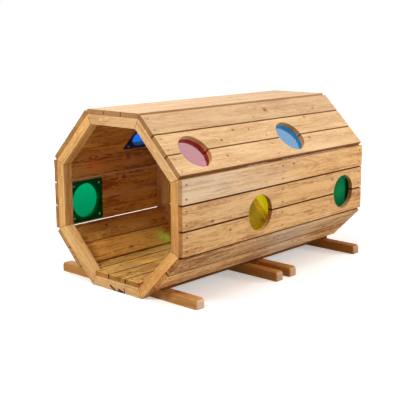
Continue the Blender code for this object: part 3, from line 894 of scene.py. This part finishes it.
# Frames of nails that stand upright in the floor, at these places across and along.
def floorNailFrames(across, along):
    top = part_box("floor_board_middle")[1].z
    return [pieceFrame(Vector((x, y, top)), tunnelWay, upWay) for y in along for x in across]


pitch = middleOf("floor_board_right").x
floorAcross = [side * x for side in (-1, 1) for x in (nailWay, pitch - nailWay, nailLook["floorOuter"])]
low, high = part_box("floor_strip_front_right")
stripWay = (high.x - low.x) / 2 - nailLook["fromEdge"]
stripMiddle = middleOf("floor_strip_front_right").x
stripAcross = [side * (stripMiddle + way) for side in (-1, 1) for way in (-stripWay, stripWay)]

# The nails of a foot go in from the side that is away from its ring.

footFrames = []
for name in woodNodes:
    if name.startswith("foot_"):
        low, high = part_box(name)
        nearest = min(ringPlaces, key=lambda y: abs(y - (low.y + high.y) / 2))
        side = 1 if low.y > nearest else -1
        face = high.y if side > 0 else low.y
        for x in (-nailLook["footFromMiddle"], nailLook["footFromMiddle"]):
            place = Vector((x, face, barHeight / 2))
            footFrames.append(pieceFrame(place, rightWay, tunnelWay * side))

wallNail = nailShape(nailLook["wallLength"])
nailSets = {"nails_wall_" + label: (wallNail, wallNailFrames(along))
            for label, along in zip(("front", "middle", "rear"), ringPlaces)}
nailSets["nails_floor"] = (wallNail, floorNailFrames(floorAcross, ringPlaces))
nailSets["nails_strips"] = (wallNail, floorNailFrames(stripAcross, footPlaces))
nailSets["nails_feet"] = (nailShape(nailLook["footLength"]), footFrames)
for name, (shape, frames) in nailSets.items():
    nails = placedCopies(name, *shape, frames, nailSteel)

points, faces = screwShape()
for name in panes:
    outward, sideways = wallWays(wallOf(name))
    low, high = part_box(name)
    centre, half = middleOf(name), (high.y - low.y) / 2
    thickness = 2 * (ringRadius - (centre - axisPoint).dot(outward))
    way = half - screwLook["fromEdge"]
    corners = [pieceFrame(centre + sideways * a + tunnelWay * b - outward * thickness / 2,
                          tunnelWay, -outward)
               for a in (-way, way) for b in (-way, way)]
    screws = placedCopies(name.replace("pane", "screws"), points, faces, corners, screwSteel)
print("nails and screws placed")

# Camera, where the photograph was taken from

cameraLook = {"place": (2.49619, -2.79190, 1.05863), "turn": (78.29755, 0.32984, 42.79835),
              "lens": 77.194, "sensor": 36}
cameraData = bpy.data.cameras.new("camera")
cameraData.lens = cameraLook["lens"]
cameraData.sensor_width = cameraLook["sensor"]
camera = addObject("camera", cameraData)
camera.location = cameraLook["place"]
camera.rotation_euler = Euler([math.radians(a) for a in cameraLook["turn"]])
scene.camera = camera

# Soft square lamps: place, target, side in metres, power, colour.

softLamps = {
    "overheadLamp": ((0.3, -0.5, 2.9), (0, 0, 0.3), 2.2, 38, (1, 0.98, 0.95)),
    "rearLamp": ((0.9, 2.1, 2.6), (0.2, 0, 0.5), 1.7, 15, (1, 0.98, 0.96)),
    "sideLamp": ((2.81, 2.76, 1.22), (0.2, 0.2, 0.3), 0.7, 64, (1, 0.96, 0.90)),
    "rightLamp": ((3.4, -0.9, 1.3), (0, 0, 0.3), 1.5, 28, (1, 0.96, 0.90)),
    "frontLamp": ((-0.5, -3.4, 2.9), (0, -0.6, 0.3), 0.9, 96, (1, 0.96, 0.88)),
    "leftLamp": ((-3.0, 0.7, 1.2), (0, 0, 0.4), 1.2, 34, (1, 0.97, 0.93)),
}

# Narrow lamps, which shine through a window and leave a spot of coloured light on the wall behind it:
# place, target, width of the cone in degrees, power, colour.

beamLamps = {
    "greenBeam": ((2.81, 2.69, 1.22), (0.363, 0.459, 0.307), 0.95, 2700, (0, 1, 0.75)),
    "redBeam": ((3.52, -0.68, 1.16), (-0.353, -0.400, 0.455), 0.5, 110, (1, 0.5, 0.2)),
    "yellowBeam": ((3.3, 1.19, 1.89), (0.363, -0.141, 0.305), 1.3, 420, (1, 0.95, 0.3)),
}


# A lamp that shines from its place towards its target.
def placeLamp(name, kind, place, target, power, colour):
    data = bpy.data.lights.new(name, kind)
    data.energy = power
    data.color = colour
    lamp = addObject(name, data)
    lamp.location = place
    lamp.rotation_euler = (Vector(target) - Vector(place)).to_track_quat("-Z", "Y").to_euler()
    return lamp


for name, (place, target, size, power, colour) in softLamps.items():
    lamp = placeLamp(name, "AREA", place, target, power, colour)
    lamp.data.shape = "SQUARE"
    lamp.data.size = size
    lamp.visible_camera = False
for name, (place, target, width, power, colour) in beamLamps.items():
    lamp = placeLamp(name, "SPOT", place, target, power, colour)
    lamp.data.spot_size = math.radians(width)
    lamp.data.spot_blend = 0.2
    lamp.data.shadow_soft_size = 0.02

# White all round for the camera and for reflections, and a plain level of light for the rest

skyLook = {"ambient": {"Color": (0.95, 0.97, 1, 1), "Strength": 0.16},
           "seen": {"Color": (1, 1, 1, 1), "Strength": 1}}
world = bpy.data.worlds.new("studio")
world.use_nodes = True
scene.world = world
tree = world.node_tree
tree.nodes.clear()
lights = [addNode(tree, "Background", values).outputs[0] for values in skyLook.values()]
either = addNode(tree, "MixShader", [seenMask(tree, addNode(tree, "LightPath")), *lights])
addNode(tree, "OutputWorld", {"Surface": either.outputs[0]})

# The floor: a grid, lit by the lamps, with light of its own for the camera, so that it is white around a soft
# shadow. The glow grows from the first level at the first distance to the second one at the second distance.

floorLook = {"half": 8, "cells": 8, "height": -0.0005, "object": (0.45, 0.45, 0.45, 1),
             "camera": (0.9, 0.9, 0.9, 1), "distances": (0.9, 2.6), "levels": (0.35, 1.0)}
cells = floorLook["cells"]
steps = np.linspace(-floorLook["half"], floorLook["half"], cells + 1)
gridX, gridY = np.meshgrid(steps, steps, indexing="ij")
floorPoints = np.stack([gridX, gridY, np.full_like(gridX, floorLook["height"])], -1).reshape(-1, 3)
row, column = np.meshgrid(np.arange(cells), np.arange(cells), indexing="ij")
first = row * (cells + 1) + column
floorFaces = np.stack([first, first + cells + 1, first + cells + 2, first + 1], -1).reshape(-1, 4)
floorMesh = bpy.data.meshes.new("studioFloor")
floorMesh.from_pydata(floorPoints.tolist(), [], floorFaces.tolist())
studioFloor = addObject("studioFloor", floorMesh)

floorMaterial, tree = newMaterial("studioFloor")
rays = addNode(tree, "LightPath")
spot = addNode(tree, "TexCoord").outputs["Object"]
away = vectorMaths(tree, "LENGTH", vectorMaths(tree, "MULTIPLY", spot, (1, 1, 0)))
pale = blendColour(tree, rays.outputs["Is Camera Ray"], floorLook["object"], floorLook["camera"])
matte = addNode(tree, "BsdfDiffuse", {"Color": pale})
level = ramp(tree, away, *floorLook["distances"], *floorLook["levels"])
glow = addNode(tree, "Emission", {"Strength": times(tree, seenMask(tree, rays), level)})
both = addNode(tree, "AddShader", [matte.outputs[0], glow.outputs[0]])
addNode(tree, "OutputMaterial", {"Surface": both.outputs[0]})
floorMesh.materials.append(floorMaterial)

scene.view_settings.view_transform = "Standard"
print("camera, lamps and floor set")
